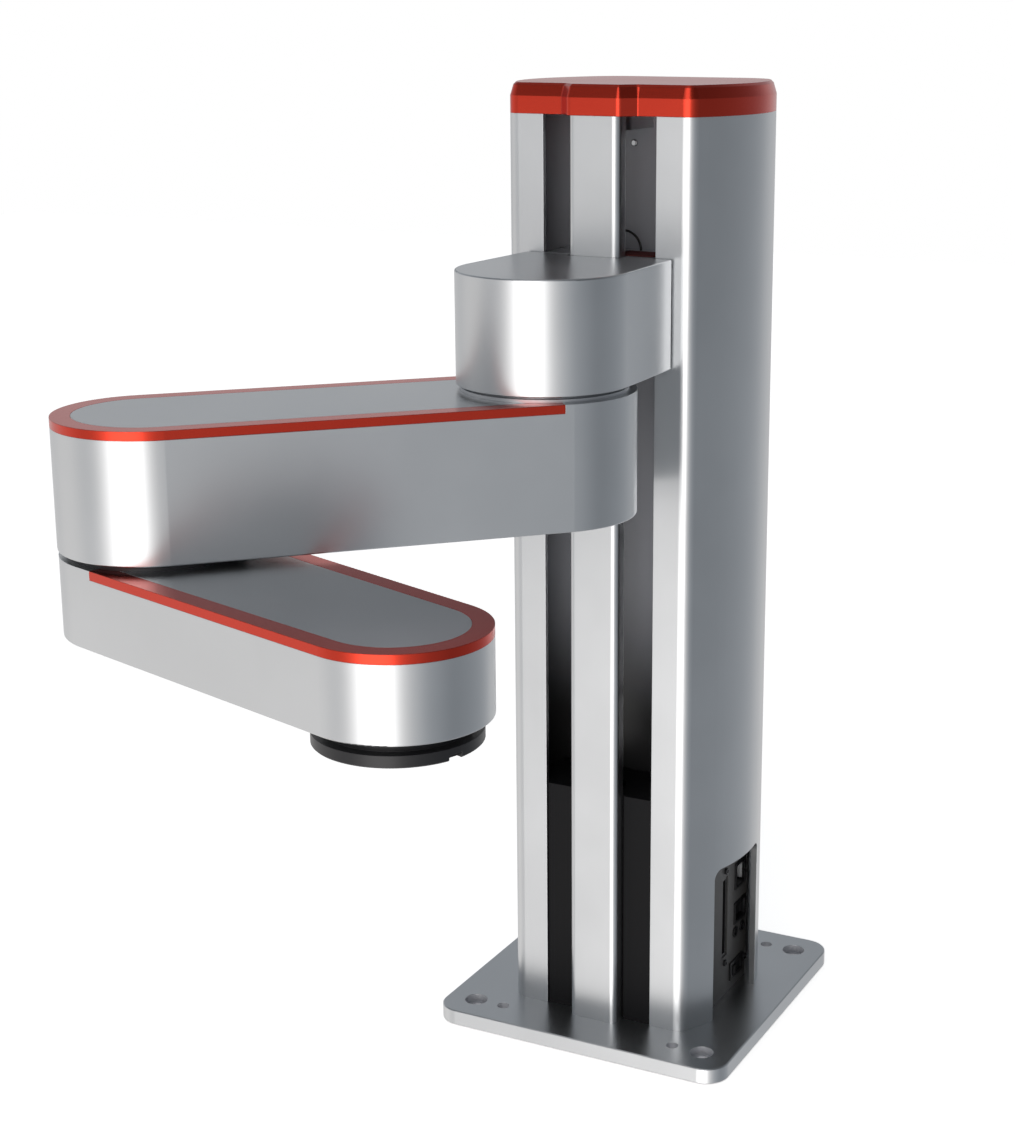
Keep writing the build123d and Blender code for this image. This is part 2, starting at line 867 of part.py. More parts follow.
def jack_screws():
    shank, head, head_depth = panel_screw
    return group(
        [across_x(head, io_face, io_face + head_depth, y, z)
         + across_x(shank, io_back - jack_screw_grip, io_face, y, z)
         for y, z in jack_screw_places]
    )


def network_port():
    """A framed jack with a stepped opening for its latch."""
    y0, y1, z0, z1 = network
    wall, latch = network_wall, network_latch
    front = io_face + connector_lip
    floor = io_face - network_depth + network_floor
    body = bar(io_face - network_depth, front, y0, y1, z0, z1)
    body -= bar(floor, front + 1, y0 + wall, y1 - wall, z0 + wall, z1 - wall)
    return body - bar(floor, front + 1, y1 - wall - 1, y1 - wall / 2, z0 + latch, z1 - latch)


def square_port():
    """The square jack, with the contact block standing in its mouth."""
    y0, y1, z0, z1 = square
    wall, tongue = square_wall, square_tongue
    front = io_face + connector_lip
    floor = io_face - socket_bottom
    body = bar(io_face - socket_depth, front, y0, y1, z0, z1)
    body -= bar(floor, front + 1, y0 + wall, y1 - wall, z0 + wall, z1 - wall)
    return body + bar(floor, io_face - 1, y0 + tongue, y1 - tongue, z0 + tongue, z1 - tongue)


def round_sockets():
    sockets = []
    for y, z in rounds:
        front = io_face + connector_lip
        floor = io_face - socket_bottom
        socket = across_x(round_radius, io_face - socket_depth, front, y, z)
        socket -= across_x(round_radius - round_wall, floor, front + 1, y, z)
        socket += across_x(round_pin_radius, floor, io_face, y, z)
        sockets.append(socket)
    return group(sockets)


def switch_frame():
    """The snap-in case of the power switch, with a rim in front and two holes for the rocker's pins."""
    y0, y1, z0, z1 = switch
    rim, wall = switch_rim, switch_wall
    case = bar(io_face - switch_depth, io_face, y0, y1, z0, z1)
    case += bar(io_face, io_face + rim, y0 - rim, y1 + rim, z0 - rim, z1 + rim)
    case -= bar(io_face - switch_depth + wall, io_face + 2 * rim, y0 + wall, y1 - wall, z0 + wall, z1 - wall)
    return case - rod(rocker_pin_radius + screw_fit, z0 - rim, z1 + rim, rocker_pivot_x, rocker_pivot_y)


def power_rocker():
    """The rocker, dished across its face and tilted to its rest side about a vertical pivot."""
    y0, y1, z0, z1 = switch
    half = (y1 - y0) / 2 - switch_wall - 1
    low = z0 + switch_wall + slide_gap
    high = z1 - switch_wall - slide_gap
    face = [(rocker_face, -half), (rocker_face - rocker_dish, 0), (rocker_face, half)]
    points = [(0, -half), *face, (0, half)]
    rocker = prism(make_face(Polyline(*points, close=True)), low, high)
    rocker += rod(rocker_hub_radius, low, high)
    rocker += rod(rocker_pin_radius, z0 + slide_gap, z1 - slide_gap)
    return Pos(rocker_pivot_x, rocker_pivot_y, 0) * Rot(0, 0, rocker_tilt) * rocker


def io_panel_screws():
    shank, head, head_depth = panel_screw
    return group(
        [across_x(head, io_face, io_face + head_depth, y, z) + across_x(shank, io_back, io_face, y, z)
         for y, z in panel_screw_places]
    )


# Shoulder head and carriage


def head_outline(inset=0):
    """Round in front about the shoulder axis, with sides that close in a little to a flat back."""
    back = head_rear - inset
    side = head_rear_half_width - inset
    radius = head_radius - inset
    reach = back + shoulder_reach
    angle = atan2(reach, side) - acos(radius / hypot(side, reach))
    touch_x = radius * cos(angle)
    touch_y = radius * sin(angle) - shoulder_reach
    right = [(side, back), (touch_x, touch_y)]
    left = [(-x, y) for x, y in reversed(right)]
    sides = make_face(Polyline(*right, *left, close=True))
    return Pos(0, -shoulder_reach) * Circle(radius) + sides


def head_housing():
    block = prism(head_outline(), head_bottom, head_top)
    rear_edges = block.edges().filter_by(Axis.Z).filter_by(lambda e: abs(e.center().Y - head_rear) < 0.01)
    block = fillet(rear_edges, head_edge_radius)
    top_rim = block.edges().filter_by(lambda e: e.center().Z > head_top - 0.01)
    block = fillet(top_rim, head_edge_radius)
    low_rim = block.edges().filter_by(lambda e: e.center().Z < head_bottom + 0.01)
    block = chamfer(low_rim, head_edge_radius / 2)
    pocket = Pos(0, -shoulder_reach) * Circle(head_radius - head_wall)
    pocket_back = head_rear - head_rear_wall
    pocket += Pos(0, (pocket_back - shoulder_reach) / 2) * Rectangle(
        2 * (head_rear_half_width - head_wall), pocket_back + shoulder_reach
    )
    block -= prism(pocket, head_bottom + head_floor, head_top - head_roof)
    block -= rod(head_floor_hole_radius, head_bottom - 1, head_bottom + head_floor + 1, 0, -shoulder_reach)
    channel = strip_half_width + head_channel_gap
    floor = -strip_front - head_channel_gap
    block -= bar(-channel, channel, floor, head_rear + 1, head_bottom - 1, head_top + 1)
    for x, z in head_screw_places():
        block -= along_y(arm_screw[0] + screw_fit, head_rear - arm_screw_grip - 1, head_rear + 1, x, z)
    return block


def head_screw_places():
    x = (strip_half_width + slot_outer) / 2
    heights = (head_bottom + head_screw_inset, head_top - head_screw_inset)
    return [(side * x, z) for side in (-1, 1) for z in heights]


def carriage():
    """The slide that runs behind the column's face and reaches the head through both slots."""
    slide = bar(-carriage_half_width, carriage_half_width, carriage_plate_front, carriage_plate_rear,
                head_bottom, head_top)
    near = strip_half_width + arm_gap
    far = slot_outer - arm_gap
    for side in (-1, 1):
        inner, outer = sorted((side * near, side * far))
        slide += bar(inner, outer, head_rear, carriage_plate_front, head_bottom, head_top)
    bridge_front = screw_y - nut_radius - 1
    bridge_top = bridge_bottom + bridge_thickness
    slide += bar(-near, near, bridge_front, carriage_plate_front, bridge_bottom, bridge_top)
    slide -= rod(nut_radius + push_fit, bridge_bottom - 1, bridge_bottom + bridge_thickness + 1, 0, screw_y)
    shank, head, head_depth = arm_screw
    seat = carriage_plate_rear - head_depth - head_clearance
    for x, z in head_screw_places():
        slide -= along_y(shank + screw_fit, head_rear - 1, carriage_plate_rear + 1, x, z)
        slide -= along_y(head + screw_clearance, seat, carriage_plate_rear + 1, x, z)
    return slide


def head_screws():
    shank, head, head_depth = arm_screw
    seat = carriage_plate_rear - head_depth - head_clearance
    tip = head_rear - arm_screw_grip
    return group(
        [along_y(head, seat, seat + head_depth, x, z) + along_y(shank, tip, seat, x, z)
         for x, z in head_screw_places()]
    )


def ball_nut():
    foot = bridge_bottom - nut_flange_thickness
    nut = rod(nut_radius, foot, foot + nut_length)
    flange = rod(nut_flange_radius, bridge_bottom - nut_flange_thickness, bridge_bottom)
    flange &= bar(-nut_flange_radius, nut_flange_radius, -nut_radius, nut_radius,
                  bridge_bottom - nut_flange_thickness - 1, bridge_bottom + 1)
    nut += flange
    nut -= rod(screw_radius + journal_gap, bridge_bottom - nut_length, bridge_bottom + nut_length)
    return Pos(0, screw_y, 0) * nut


def carriage_cable():
    """The thin sensor lead that loops over the top of the carriage."""
    loop = CenterArc((0, 0), cable_loop_radius, 0, 180)
    path = Plane.XZ * loop
    section = Plane.XY * Pos(cable_loop_radius, 0) * Circle(cable_radius)
    return Pos(0.5, cable_y, head_top) * sweep(section, path=path)


def shoulder_reducer():
    seat = head_bottom + head_floor
    ring = rod(shoulder_reducer_radius, seat, seat + reducer_height)
    ring -= rod(hub_radius + hub_gap, seat - 1, seat + reducer_height + 1)
    return Pos(0, -shoulder_reach, 0) * ring


def shoulder_motor():
    seat = head_bottom + head_floor + reducer_height
    return Pos(0, -shoulder_reach, 0) * rod(shoulder_motor_radius, seat, seat + shoulder_motor_height)


def joint_flange(seat, gap):
    """A turned output flange: a disc on the arm, a smaller step under the gap, and a hub into the reducer."""
    disc_top = seat + flange_thickness
    step_top = seat + gap - flange_gap
    flange = rod(flange_radius, seat, disc_top)
    flange = chamfer(flange.edges().sort_by(Axis.Z)[-1], 0.4)
    flange += rod(flange_step_radius, disc_top, step_top)
    return flange + rod(hub_radius, step_top, step_top + hub_length)


# Arms, each in its own frame: parent axis at the origin, far axis on +X


def link_outline(length, near_radius, far_radius):
    """Two circles joined by their outer tangents."""
    angle = acos((near_radius - far_radius) / length)
    near_x, near_y = near_radius * cos(angle), near_radius * sin(angle)
    far_x, far_y = length + far_radius * cos(angle), far_radius * sin(angle)
    sides = [(near_x, near_y), (far_x, far_y), (far_x, -far_y), (near_x, -near_y)]
    web = make_face(Polyline(*sides, close=True))
    return web + Circle(near_radius) + Pos(length, 0) * Circle(far_radius)


def beyond(start, length):
    """A large half plane that starts at a distance from the parent axis."""
    return Pos(start + length, 0) * Rectangle(2 * length, 2 * length)


def trim_plan(length, near_radius, far_radius, start, width):
    """The U-shaped band along the arm's rim, open towards the parent axis."""
    outer = link_outline(length, near_radius, far_radius)
    inner = link_outline(length, near_radius - width, far_radius - width)
    return (outer - inner) & beyond(start, length)


def cover_plan(length, near_radius, far_radius, inset, keep_out):
    """The lid inside the trim, cut back round the parent flange."""
    plan = link_outline(length, near_radius - inset, far_radius - inset) & beyond(0, length)
    return plan - Circle(keep_out)


def arm_housing(length, near_radius, far_radius, bottom, height, trim_start, hole_radius):
    """A machined arm body: open under its lid, with a rebate for the lid and one for the trim."""
    top = bottom + height
    body = prism(link_outline(length, near_radius, far_radius), bottom, top)
    rim = body.edges().filter_by(lambda e: e.center().Z < bottom + 0.01)
    body = fillet(rim, arm_edge_radius)
    keep_out = flange_radius + cover_flange_gap
    groove = trim_plan(length, near_radius, far_radius, trim_start, trim_width)
    body -= prism(groove, top - trim_height, top + 1)
    recess = cover_plan(length, near_radius, far_radius, trim_width, keep_out)
    body -= prism(recess, top - cover_thickness, top + 1)
    mouth = cover_plan(length, near_radius, far_radius, trim_width + cover_ledge, keep_out + cover_ledge)
    body -= prism(mouth, top - trim_height - arm_roof - 1, top)
    cavity = link_outline(length, near_radius - arm_wall, far_radius - arm_wall)
    body -= prism(cavity, bottom + arm_floor, top - trim_height - arm_roof)
    return body - rod(hole_radius, bottom - 1, bottom + arm_floor + 1, length, 0)


def arm_trim(length, near_radius, far_radius, top, start):
    plan = trim_plan(length, near_radius, far_radius, start, trim_width - trim_gap)
    return prism(plan, top - trim_height, top)


def arm_cover(length, near_radius, far_radius, top):
    keep_out = flange_radius + cover_flange_gap + trim_gap
    plan = cover_plan(length, near_radius, far_radius, trim_width + trim_gap, keep_out)
    return prism(plan, top - cover_thickness, top)


upper_arm = (upper_arm_length, upper_arm_radius, upper_arm_radius)
forearm = (forearm_length, forearm_near_radius, forearm_far_radius)


def turned(distance, angle):
    """A point at a distance from an axis, at an angle from straight ahead, which is -Y."""
    return distance * sin(radians(angle)), -distance * cos(radians(angle))


elbow_x, elbow_y = turned(upper_arm_length, shoulder_angle)
elbow_y -= shoulder_reach
fore_angle = shoulder_angle + elbow_angle


def on_upper_arm(shape):
    return Pos(0, -shoulder_reach, 0) * Rot(0, 0, shoulder_angle - 90) * shape


def on_forearm(shape):
    return Pos(elbow_x, elbow_y, 0) * Rot(0, 0, fore_angle - 90) * shape


def elbow_reducer():
    seat = upper_arm_bottom + arm_floor
    ring = rod(elbow_reducer_radius, seat, seat + reducer_height, upper_arm_length)
    return ring - rod(hub_radius + hub_gap, seat - 1, seat + reducer_height + 1, upper_arm_length)


def elbow_motor():
    seat = upper_arm_bottom + arm_floor + reducer_height
    return rod(elbow_motor_radius, seat, seat + elbow_motor_height, upper_arm_length)


# Tool axis, in the forearm's frame


def tool_flange():
    """The black output flange: pilot bore, four tapped holes and the zero mark in its rim."""
    neck_top = forearm_bottom - tool_neck_gap
    disc = rod(tool_flange_radius, tool_flange_bottom, tool_flange_top)
    disc = chamfer(disc.edges().sort_by(Axis.Z)[0], tool_flange_edge)
    flange = disc + rod(tool_neck_radius, tool_flange_top, neck_top)
    flange -= bar(tool_flange_radius - notch_depth, tool_flange_radius + 1, -notch_width / 2, notch_width / 2,
                  tool_flange_bottom - 1, tool_flange_bottom + notch_height)
    flange -= rod(tool_pilot_radius, tool_flange_bottom - 1, tool_flange_bottom + tool_pilot_depth)
    flange -= rod(tool_bore_radius, tool_flange_bottom - 1, neck_top + 1)
    for n in range(4):
        x, y = turned(tool_bolt_circle / 2, 45 + 90 * n)
        flange -= rod(tool_bolt_radius, tool_flange_bottom - 1, tool_flange_bottom + tool_bolt_depth, x, y)
    shank, head, head_depth = tool_screw
    sink_top = tool_flange_bottom + tool_pilot_depth + head_depth
    for x, y in tool_screw_places():
        flange -= rod(shank + screw_fit, tool_flange_bottom, neck_top + 1, x, y)
        flange -= rod(head + screw_fit, tool_flange_bottom, sink_top, x, y)
    return Pos(forearm_length, 0, 0) * flange


def tool_screw_places():
    return [turned(tool_screw_circle / 2, 90 * n) for n in range(4)]


def tool_flange_screws():
    seat = tool_flange_bottom + tool_pilot_depth + tool_screw[2]
    screws = [screw_up(tool_screw, tool_screw_length, x, y, seat) for x, y in tool_screw_places()]
    return Pos(forearm_length, 0, 0) * group(screws)


def tool_shaft():
    """The hollow output shaft with its large belt pulley."""
    bottom = forearm_bottom - tool_neck_gap
    shaft = rod(tool_shaft_radius, bottom, tool_pulley_bottom)
    shaft += belt_pulley(tool_pulley_radius, tool_shaft_radius, tool_pulley_teeth, tool_pulley_bottom,
                         tool_belt_width, tool_bore_radius)
    shaft -= rod(tool_bore_radius, bottom - 1, tool_pulley_bottom + 1)
    for x, y in tool_screw_places():
        shaft -= rod(tool_screw[0] + screw_fit, bottom - 1, bottom + tool_screw_length, x, y)
    return Pos(forearm_length, 0, 0) * shaft


def tool_bearing():
    seat = forearm_bottom + arm_floor
    ring = rod(tool_bearing_radius, seat, seat + tool_bearing_height)
    ring -= rod(tool_shaft_radius + journal_gap, seat - 1, seat + tool_bearing_height + 1)
    return Pos(forearm_length, 0, 0) * ring


def tool_motor():
    seat = forearm_bottom + arm_floor
    top = seat + tool_motor_height
    socket_floor = top - tool_motor_shaft_reach - slide_gap
    body = rod(tool_motor_radius, seat, top) - rod(tool_motor_shaft_radius + journal_gap, socket_floor, top + 1)
    return Pos(tool_motor_distance, 0, 0) * body


def tool_motor_pulley():
    """The small pulley with the end of the rotor shaft that it is pressed on."""
    shaft_bottom = forearm_bottom + arm_floor + tool_motor_height - tool_motor_shaft_reach
    flange = small_pulley_radius + pulley_flange_radius - pulley_radius
    pulley = belt_pulley(small_pulley_radius, flange, small_pulley_teeth, tool_pulley_bottom, tool_belt_width,
                         tool_motor_shaft_radius)
    pulley += rod(tool_motor_shaft_radius, shaft_bottom, tool_pulley_bottom + tool_pulley_height)
    return Pos(tool_motor_distance, 0, 0) * pulley


def tool_belt():
    bottom = tool_pulley_bottom + pulley_flange_thickness + belt_side_gap
    distance = forearm_length - tool_motor_distance
    belt = belt_loop(distance, tool_pulley_radius, small_pulley_radius, bottom, tool_belt_width)
    return Pos(forearm_length, 0, 0) * Rot(0, 0, 180) * belt


nodes = {
    "base_plate": base_plate(),
    "column_shell": column_shell(),
    "centre_strip": centre_strip(),
    "top_cap": top_cap(),
    "top_plate": top_plate(),
    "top_plate_screws": top_plate_screws(),
    "light_board": light_board(),
    "column_screws": column_screws(),
    "guide_panel": guide_panel(),
    "panel_screw": panel_screws(),
    "guide_rails": guide_rails(),
    "rail_screws": rail_screws(),
    "drive_housing": drive_housing(),
    "lower_bearing": lower_bearing(),
    "upper_bearing": upper_bearing(),
    "z_motor": z_motor(),
    "motor_bracket": motor_bracket(),
    "z_belt": z_belt(),
    "control_board": control_board(),
    "board_standoffs": board_standoffs(),
    "io_panel": io_panel(),
    "io_panel_screws": io_panel_screws(),
    "io_connector": io_connector(),
    "jack_screws": jack_screws(),
    "network_port": network_port(),
    "square_port": square_port(),
    "round_sockets": round_sockets(),
    "switch_frame": switch_frame(),
    "power_rocker": power_rocker(),
    "ball_screw": ball_screw(),
    "screw_pulley": screw_pulley(),
    "motor_pulley": motor_pulley(),
    "carriage": carriage(),
    "guide_blocks": guide_blocks(),
    "ball_nut": ball_nut(),
    "head_housing": head_housing(),
    "head_screws": head_screws(),
    "carriage_cable": carriage_cable(),
    "shoulder_reducer": shoulder_reducer(),
    "shoulder_motor": shoulder_motor(),
    "shoulder_flange": Pos(0, -shoulder_reach, 0) * joint_flange(upper_arm_top, shoulder_gap),
    "upper_arm_housing": on_upper_arm(
        arm_housing(*upper_arm, upper_arm_bottom, upper_arm_height, upper_trim_start, drive_hole_radius)
    ),
    "upper_arm_trim": on_upper_arm(arm_trim(*upper_arm, upper_arm_top, upper_trim_start)),
    "upper_arm_cover": on_upper_arm(arm_cover(*upper_arm, upper_arm_top)),
    "elbow_reducer": on_upper_arm(elbow_reducer()),
    "elbow_motor": on_upper_arm(elbow_motor()),
    "elbow_flange": Pos(elbow_x, elbow_y, 0) * joint_flange(forearm_top, elbow_gap),
    "forearm_housing": on_forearm(
        arm_housing(*forearm, forearm_bottom, forearm_height, fore_trim_start, tool_hole_radius)
    ),
    "forearm_trim": on_forearm(arm_trim(*forearm, forearm_top, fore_trim_start)),
    "forearm_cover": on_forearm(arm_cover(*forearm, forearm_top)),
    "tool_motor": on_forearm(tool_motor()),
    "tool_motor_pulley": on_forearm(tool_motor_pulley()),
    "tool_belt": on_forearm(tool_belt()),
    "tool_bearing": on_forearm(tool_bearing()),
    "tool_shaft": on_forearm(tool_shaft()),
    "tool_flange": on_forearm(tool_flange()),
    "tool_flange_screws": on_forearm(tool_flange_screws()),
}

os.makedirs("parts", exist_ok=True)
for name, shape in nodes.items():
    export_step(shape, f"parts/{name}.step")
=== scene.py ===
from math import radians

import bmesh
import bpy
import numpy as np
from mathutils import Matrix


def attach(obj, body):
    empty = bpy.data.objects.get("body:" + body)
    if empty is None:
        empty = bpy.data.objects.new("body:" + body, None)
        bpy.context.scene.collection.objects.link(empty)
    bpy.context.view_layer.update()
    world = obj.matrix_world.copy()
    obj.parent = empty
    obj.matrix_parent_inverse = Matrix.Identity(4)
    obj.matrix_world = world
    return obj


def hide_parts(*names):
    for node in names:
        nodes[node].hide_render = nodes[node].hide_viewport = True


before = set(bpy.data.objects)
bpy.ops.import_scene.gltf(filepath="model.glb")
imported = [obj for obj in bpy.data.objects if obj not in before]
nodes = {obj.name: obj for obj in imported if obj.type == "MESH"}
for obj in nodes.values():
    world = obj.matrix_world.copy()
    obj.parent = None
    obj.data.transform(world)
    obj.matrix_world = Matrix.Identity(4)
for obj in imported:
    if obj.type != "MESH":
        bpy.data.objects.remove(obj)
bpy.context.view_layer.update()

# The camera stands to the right of the robot's front and a little above the column's top, where the
# photograph was taken from, with a lens nearly twice as long as the film is wide.
camera_place = (0.531649, -1.154225, 0.640671)
camera_azimuth = 26.2592
camera_elevation = 14.4763
camera_data = bpy.data.cameras.new("camera")
camera_data.lens = 65.62
camera_data.sensor_width = 36
camera_data.shift_x = -0.0714
camera_data.shift_y = -0.0262
camera = bpy.data.objects.new("camera", camera_data)
camera.location = camera_place
camera.rotation_euler = (radians(90 - camera_elevation), 0, radians(camera_azimuth))
bpy.context.scene.collection.objects.link(camera)
bpy.context.scene.camera = camera
bpy.context.scene.view_settings.view_transform = "Standard"

# The studio is a pale room around the robot, brighter in front than at the sides and dim above the robot's
# top, with one tall soft light in front and a low white reflector beside it. Metal sees this room, and the
# page behind the object is white, as in the photograph.
around = [
    (-180, 0.66), (-145, 0.72), (-107, 0.68), (-89, 0.80), (-70, 0.82), (-45, 0.66), (-28, 0.66),
    (-12, 1.10), (24, 1.15), (36, 0.84), (42, 0.70), (48, 0.57), (56, 0.53), (62, 0.44), (66, 0.36),
    (74, 0.35), (99, 0.26), (120, 0.30), (142, 0.36), (158, 0.45), (168, 0.62), (180, 0.66),
]
upwards_in_front = [
    (-90, 1.30), (-26, 1.20), (-4, 1.00), (9, 1.00), (15, 0.75), (30, 0.26), (47, 0.22), (60, 0.35),
    (90, 0.85),
]
upwards_behind = [
    (-90, 1.30), (-26, 1.20), (-4, 1.00), (2, 0.93), (10, 0.95), (14, 0.60), (30, 0.56), (47, 0.42),
    (60, 0.45), (90, 0.85),
]
brightest = 1.5
front_ends, back_begins = 70, 120
cool = (0.91, 0.975, 1.05)
neutral = (1.01, 0.985, 0.965)
cool_level, neutral_level = 0.2, 0.95
white = (1, 1, 1, 1)

world = bpy.data.worlds.new("studio")
bpy.context.scene.world = world
world.use_nodes = True
sky = world.node_tree
sky.nodes.clear()


def math_node(tree, operation, *inputs):
    """One Math node whose inputs are numbers or other nodes' sockets, and its output socket."""
    node = tree.nodes.new("ShaderNodeMath")
    node.operation = operation
    for place, value in enumerate(inputs):
        if isinstance(value, (int, float)):
            node.inputs[place].default_value = value
        else:
            tree.links.new(value, node.inputs[place])
    return node.outputs[0]


def between(tree, value, start, end, low=0.0, high=1.0, smooth=True):
    """A Map Range node: low where value is start, high where it is end, clamped outside."""
    node = tree.nodes.new("ShaderNodeMapRange")
    node.interpolation_type = "SMOOTHSTEP" if smooth else "LINEAR"
    tree.links.new(value, node.inputs["Value"])
    node.inputs["From Min"].default_value = start
    node.inputs["From Max"].default_value = end
    node.inputs["To Min"].default_value = low
    node.inputs["To Max"].default_value = high
    return node.outputs["Result"]


def ramp(tree, value, stops):
    """A Color Ramp over stops of (place from 0 to 1, grey level or colour)."""
    node = tree.nodes.new("ShaderNodeValToRGB")
    node.color_ramp.interpolation = "EASE"
    marks = node.color_ramp.elements
    while len(marks) < len(stops):
        marks.new(0.5)
    for mark, (place, level) in zip(marks, stops):
        mark.position = place
        mark.color = (level, level, level, 1) if isinstance(level, float) else (*level, 1)
    tree.links.new(value, node.inputs["Fac"])
    return node.outputs["Color"]


def level_by_angle(angle, lowest, highest, levels):
    """The room's level over brightest, read from (angle in degrees, level) pairs between two limits."""
    share = between(sky, angle, lowest, highest, smooth=False)
    return ramp(sky, share, [((degrees - lowest) / (highest - lowest), float(level / brightest))
                             for degrees, level in levels])


direction = sky.nodes.new("ShaderNodeTexCoord").outputs["Generated"]
parts = sky.nodes.new("ShaderNodeSeparateXYZ")
sky.links.new(direction, parts.inputs[0])
forwards = math_node(sky, "MULTIPLY", parts.outputs["Y"], -1.0)
azimuth = math_node(sky, "MULTIPLY", math_node(sky, "ARCTAN2", parts.outputs["X"], forwards), 180 / np.pi)
elevation = math_node(sky, "MULTIPLY", math_node(sky, "ARCSINE", parts.outputs["Z"]), 180 / np.pi)
wall = level_by_angle(azimuth, -180, 180, around)
height_in_front = level_by_angle(elevation, -90, 90, upwards_in_front)
height_behind = level_by_angle(elevation, -90, 90, upwards_behind)
behind = between(sky, math_node(sky, "ABSOLUTE", azimuth), front_ends, back_begins)
in_front = math_node(sky, "SUBTRACT", 1.0, behind)
height = math_node(sky, "ADD", math_node(sky, "MULTIPLY", height_behind, behind),
                   math_node(sky, "MULTIPLY", height_in_front, in_front))
room = math_node(sky, "MULTIPLY", math_node(sky, "MULTIPLY", wall, height), brightest * brightest)


def soft_light(middle, half_width, side_softness, middle_elevation, half_height, end_softness, strength):
    """The level of one soft-edged panel of the studio at each direction, with all its angles in degrees."""
    sideways = math_node(sky, "ABSOLUTE", math_node(sky, "SUBTRACT", azimuth, middle))
    upward = math_node(sky, "ABSOLUTE", math_node(sky, "SUBTRACT", elevation, middle_elevation))
    across = between(sky, sideways, half_width + side_softness, half_width - side_softness)
    along = between(sky, upward, half_height + end_softness, half_height - end_softness)
    return math_node(sky, "MULTIPLY", math_node(sky, "MULTIPLY", across, along), strength)


softbox = soft_light(middle=8.5, half_width=20, side_softness=3,
                     middle_elevation=-5, half_height=56, end_softness=8, strength=1.2)
reflector = soft_light(middle=-18, half_width=10, side_softness=5,
                       middle_elevation=-17.5, half_height=8, end_softness=4, strength=0.33)
level = math_node(sky, "ADD", room, math_node(sky, "ADD", softbox, reflector))
rays = sky.nodes.new("ShaderNodeLightPath")
seen = math_node(sky, "MAXIMUM", rays.outputs["Is Camera Ray"], rays.outputs["Is Transmission Ray"])
studio = sky.nodes.new("ShaderNodeBackground")
warmth = between(sky, level, cool_level, neutral_level, smooth=False)
sky.links.new(ramp(sky, warmth, [(0.0, cool), (1.0, neutral)]), studio.inputs["Color"])
sky.links.new(level, studio.inputs["Strength"])
page = sky.nodes.new("ShaderNodeBackground")
page.inputs["Color"].default_value = white
mix = sky.nodes.new("ShaderNodeMixShader")
sky.links.new(seen, mix.inputs[0])
sky.links.new(studio.outputs[0], mix.inputs[1])
sky.links.new(page.outputs[0], mix.inputs[2])
sky.links.new(mix.outputs[0], sky.nodes.new("ShaderNodeOutputWorld").inputs["Surface"])

# The base plate is milled from 10 mm aluminium, bead-blasted and clear anodised. Four counterbored holes
# bolt it down and four reamed holes take its locating pins. They are cut after the blasting, so their walls
# are darker and duller than the plate's faces.
blast_grain = 0.0003
blast_depth = 0.000006
aluminium = (0.615, 0.63, 0.645)
bare_edge = (0.80, 0.81, 0.82)
cloud_scale, cloud_detail = 14, 3
cloud_low, cloud_high = 0.3, 0.7
cloud_darker, cloud_lighter = 0.975, 1.025
grain_detail = 2
edge_samples = 4
edge_begins, edge_ends = 0.99, 0.85
edge_share = 0.7
edge_lighter = 1.25


